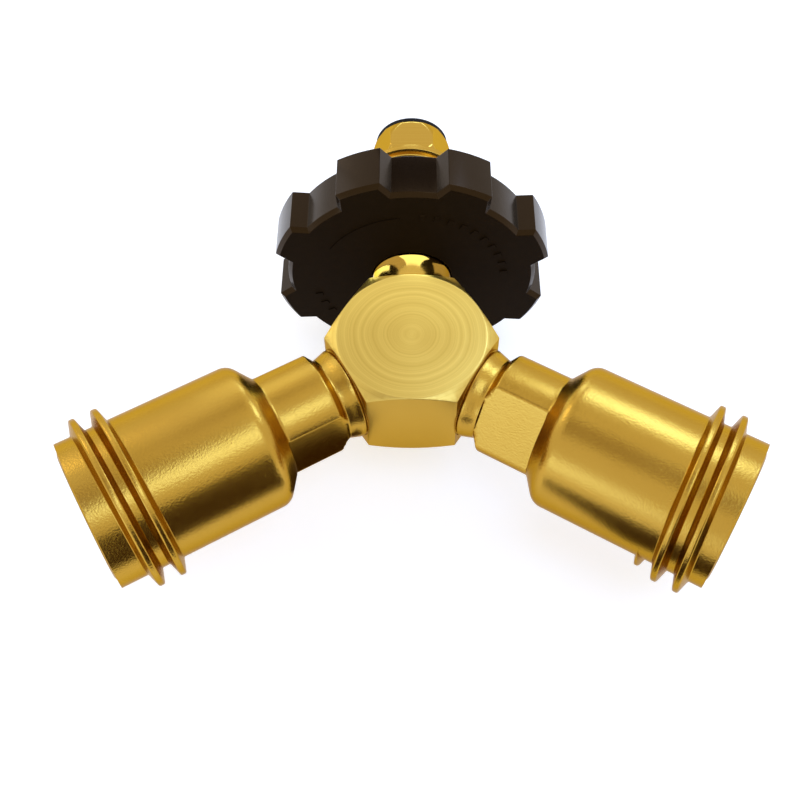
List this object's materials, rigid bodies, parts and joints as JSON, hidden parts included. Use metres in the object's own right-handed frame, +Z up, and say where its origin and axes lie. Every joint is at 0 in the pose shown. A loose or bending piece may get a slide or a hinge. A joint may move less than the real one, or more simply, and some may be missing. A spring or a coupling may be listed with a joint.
{
  "type": "propane y splitter",
  "caption": "Brass gas splitter: a hand-tightened inlet with a lobed plastic wheel and a bullet nose feeds coarse-threaded outlets set at 120 degrees on a hexagonal block.",
  "frame": {"origin": "centre of the hexagonal block's base face", "axes": "+Z up through the block; +Y along the inlet, away from the block; the outlets point 30 degrees below -X and +X in plan, towards -Y"},
  "size_m": [0.1288, 0.1054, 0.0546],
  "materials": {
    "machined_brass": "turned, fine tool marks",
    "polished_brass": "polished",
    "blasted_brass": "bead blasted satin",
    "black_plastic": "moulded, semi-gloss",
    "black_rubber": "moulded rubber",
    "nylon_washer": "natural nylon",
    "spring_steel": "drawn stainless wire"
  },
  "bodies": {
    "fitting": {"hex_block": "machined_brass", "tailpiece": "polished_brass", "nose_fitting": "polished_brass", "nose_seal": "black_rubber", "outlet_left": "blasted_brass", "check_seat_left": "machined_brass", "seat_o_ring_left": "black_rubber", "check_seal_left": "black_rubber", "poppet_guide_left": "machined_brass", "check_spring_left": "spring_steel", "outlet_right": "blasted_brass", "check_seat_right": "machined_brass", "seat_o_ring_right": "black_rubber", "check_seal_right": "black_rubber", "poppet_guide_right": "machined_brass", "check_spring_right": "spring_steel", "flow_spring": "spring_steel"},
    "sliding_washer": {"thrust_washer": "nylon_washer"},
    "wheel_and_nut": {"pol_nut": "machined_brass", "handwheel": "black_plastic"},
    "poppet_left": {"check_poppet_left": "machined_brass"},
    "poppet_right": {"check_poppet_right": "machined_brass"},
    "flow_valve": {"flow_poppet": "machined_brass"}
  },
  "joints": [
    {"name": "nut_slide", "type": "slide", "parent": "fitting", "child": "sliding_washer", "axis": [0, 1, 0], "range_m": [-0.003, 0]},
    {"name": "wheel_spin", "type": "hinge", "parent": "sliding_washer", "child": "wheel_and_nut", "pos_m": [0, 0.02549, 0.009], "axis": [0, 1, 0], "continuous": true},
    {"name": "check_push_left", "type": "slide", "parent": "fitting", "child": "poppet_left", "axis": [0.866, 0.5, 0], "range_m": [0, 0.003], "stiffness_N_per_m": 600, "springref_m": -0.003, "deforming": ["check_spring_left"]},
    {"name": "check_push_right", "type": "slide", "parent": "fitting", "child": "poppet_right", "axis": [-0.866, 0.5, 0], "range_m": [0, 0.003], "stiffness_N_per_m": 600, "springref_m": -0.003, "deforming": ["check_spring_right"]},
    {"name": "flow_shut", "type": "slide", "parent": "fitting", "child": "flow_valve", "axis": [0, -1, 0], "range_m": [0, 0.0018], "stiffness_N_per_m": 200, "springref_m": -0.001, "deforming": ["flow_spring"]}
  ]
}
